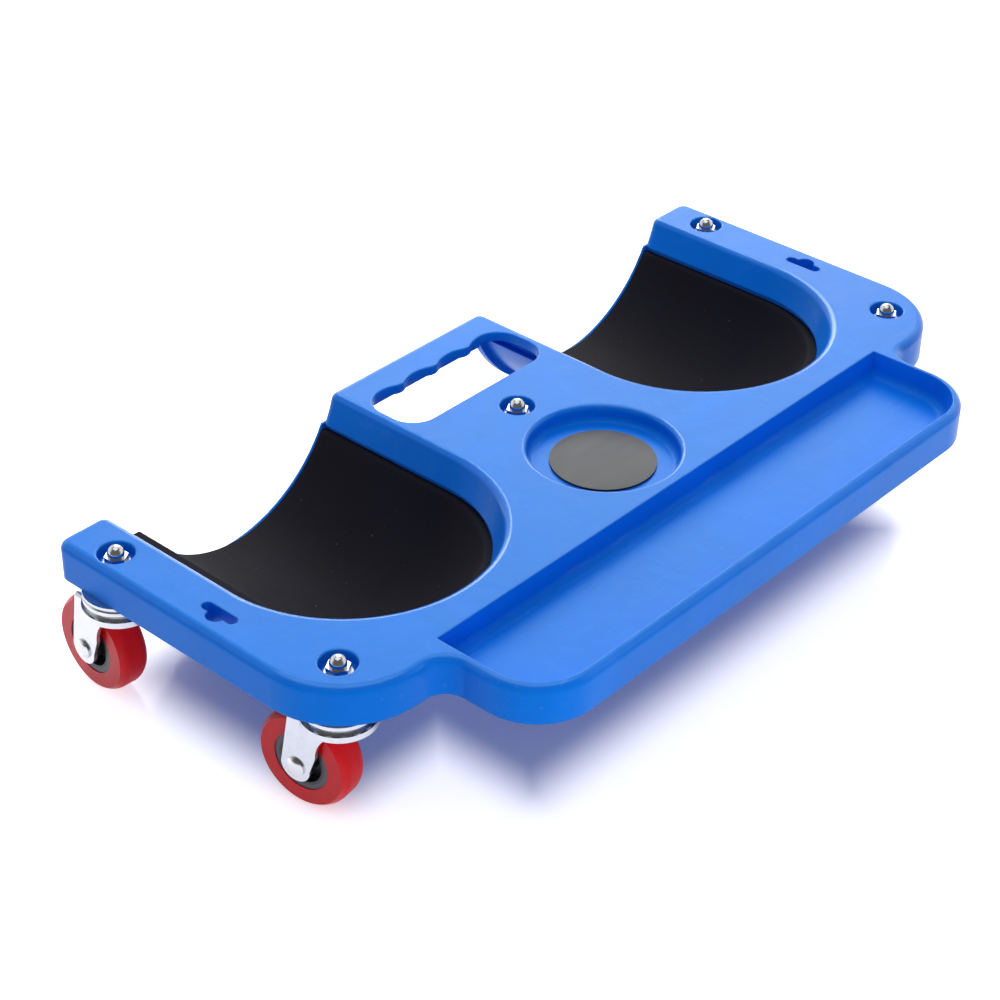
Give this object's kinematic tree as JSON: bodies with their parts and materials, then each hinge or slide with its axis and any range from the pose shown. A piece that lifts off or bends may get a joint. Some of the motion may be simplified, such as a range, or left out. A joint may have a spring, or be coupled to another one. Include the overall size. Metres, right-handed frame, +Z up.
{
  "type": "kneeling creeper",
  "caption": "Low rolling kneeling creeper: moulded board with padded knee troughs, round parts dish, front tool tray and carrying slot, on swivel casters.",
  "frame": {"origin": "on the floor under the middle of the bounding box", "axes": "+X across the board to the user's right as they kneel facing the tray from behind, +Y towards the open ends of the knee troughs, +Z up"},
  "size_m": [0.4802, 0.2604, 0.0876],
  "materials": {
    "blue_plastic": "satin moulded polypropylene with a fine grain",
    "black_foam": "matt closed-cell foam with a smooth skin",
    "dark_grey_plastic": "matt",
    "chromed_steel": "polished",
    "zinc_plated_steel": "bright zinc plated",
    "black_plastic": "satin",
    "grey_plastic": "satin",
    "red_urethane": "satin cast polyurethane"
  },
  "bodies": {
    "base": {"platform": "blue_plastic", "knee_pad_left": "black_foam", "knee_pad_right": "black_foam", "dish_disc": "dark_grey_plastic", "acorn_nuts": "chromed_steel", "washers": "chromed_steel", "kingpin_rear_left": "zinc_plated_steel", "top_cup_rear_left": "zinc_plated_steel", "ball_cage_rear_left": "black_plastic", "kingpin_rear_right": "zinc_plated_steel", "top_cup_rear_right": "zinc_plated_steel", "ball_cage_rear_right": "black_plastic", "kingpin_front_left": "zinc_plated_steel", "top_cup_front_left": "zinc_plated_steel", "ball_cage_front_left": "black_plastic", "kingpin_front_right": "zinc_plated_steel", "top_cup_front_right": "zinc_plated_steel", "ball_cage_front_right": "black_plastic", "kingpin_centre": "zinc_plated_steel", "top_cup_centre": "zinc_plated_steel", "ball_cage_centre": "black_plastic"},
    "fork_body_rear_left": {"fork_rear_left": "zinc_plated_steel", "lower_race_rear_left": "zinc_plated_steel", "axle_rear_left": "zinc_plated_steel", "axle_nut_rear_left": "zinc_plated_steel", "sleeve_rear_left": "zinc_plated_steel"},
    "wheel_body_rear_left": {"wheel_core_rear_left": "grey_plastic", "tread_rear_left": "red_urethane"},
    "fork_body_rear_right": {"fork_rear_right": "zinc_plated_steel", "lower_race_rear_right": "zinc_plated_steel", "axle_rear_right": "zinc_plated_steel", "axle_nut_rear_right": "zinc_plated_steel", "sleeve_rear_right": "zinc_plated_steel"},
    "wheel_body_rear_right": {"wheel_core_rear_right": "grey_plastic", "tread_rear_right": "red_urethane"},
    "fork_body_front_left": {"fork_front_left": "zinc_plated_steel", "lower_race_front_left": "zinc_plated_steel", "axle_front_left": "zinc_plated_steel", "axle_nut_front_left": "zinc_plated_steel", "sleeve_front_left": "zinc_plated_steel"},
    "wheel_body_front_left": {"wheel_core_front_left": "grey_plastic", "tread_front_left": "red_urethane"},
    "fork_body_front_right": {"fork_front_right": "zinc_plated_steel", "lower_race_front_right": "zinc_plated_steel", "axle_front_right": "zinc_plated_steel", "axle_nut_front_right": "zinc_plated_steel", "sleeve_front_right": "zinc_plated_steel"},
    "wheel_body_front_right": {"wheel_core_front_right": "grey_plastic", "tread_front_right": "red_urethane"},
    "fork_body_centre": {"fork_centre": "zinc_plated_steel", "lower_race_centre": "zinc_plated_steel", "axle_centre": "zinc_plated_steel", "axle_nut_centre": "zinc_plated_steel", "sleeve_centre": "zinc_plated_steel"},
    "wheel_body_centre": {"wheel_core_centre": "grey_plastic", "tread_centre": "red_urethane"}
  },
  "joints": [
    {"name": "swivel_rear_left", "type": "hinge", "parent": "base", "child": "fork_body_rear_left", "pos_m": [-0.2218, 0.0882, 0.0581], "axis": [0, 0, 1], "continuous": true},
    {"name": "swivel_rear_right", "type": "hinge", "parent": "base", "child": "fork_body_rear_right", "pos_m": [0.2218, 0.0882, 0.0581], "axis": [0, 0, 1], "continuous": true},
    {"name": "swivel_front_left", "type": "hinge", "parent": "base", "child": "fork_body_front_left", "pos_m": [-0.2098, -0.0445, 0.0581], "axis": [0, 0, 1], "continuous": true},
    {"name": "swivel_front_right", "type": "hinge", "parent": "base", "child": "fork_body_front_right", "pos_m": [0.2098, -0.0445, 0.0581], "axis": [0, 0, 1], "continuous": true},
    {"name": "swivel_centre", "type": "hinge", "parent": "base", "child": "fork_body_centre", "pos_m": [0, 0.0375, 0.0581], "axis": [0, 0, 1], "continuous": true},
    {"name": "wheel_rear_left", "type": "hinge", "parent": "fork_body_rear_left", "child": "wheel_body_rear_left", "pos_m": [-0.22092, 0.10498, 0.025], "axis": [-0.9986, 0.0523, 0], "continuous": true},
    {"name": "wheel_rear_right", "type": "hinge", "parent": "fork_body_rear_right", "child": "wheel_body_rear_right", "pos_m": [0.22092, 0.10498, 0.025], "axis": [-0.9986, -0.0523, 0], "continuous": true},
    {"name": "wheel_front_left", "type": "hinge", "parent": "fork_body_front_left", "child": "wheel_body_front_left", "pos_m": [-0.21211, -0.02786, 0.025], "axis": [-0.9905, -0.1374, 0], "continuous": true},
    {"name": "wheel_front_right", "type": "hinge", "parent": "fork_body_front_right", "child": "wheel_body_front_right", "pos_m": [0.21211, -0.02786, 0.025], "axis": [-0.9905, 0.1374, 0], "continuous": true},
    {"name": "wheel_centre", "type": "hinge", "parent": "fork_body_centre", "child": "wheel_body_centre", "pos_m": [0, 0.0543, 0.025], "axis": [-1, 0, 0], "continuous": true}
  ]
}
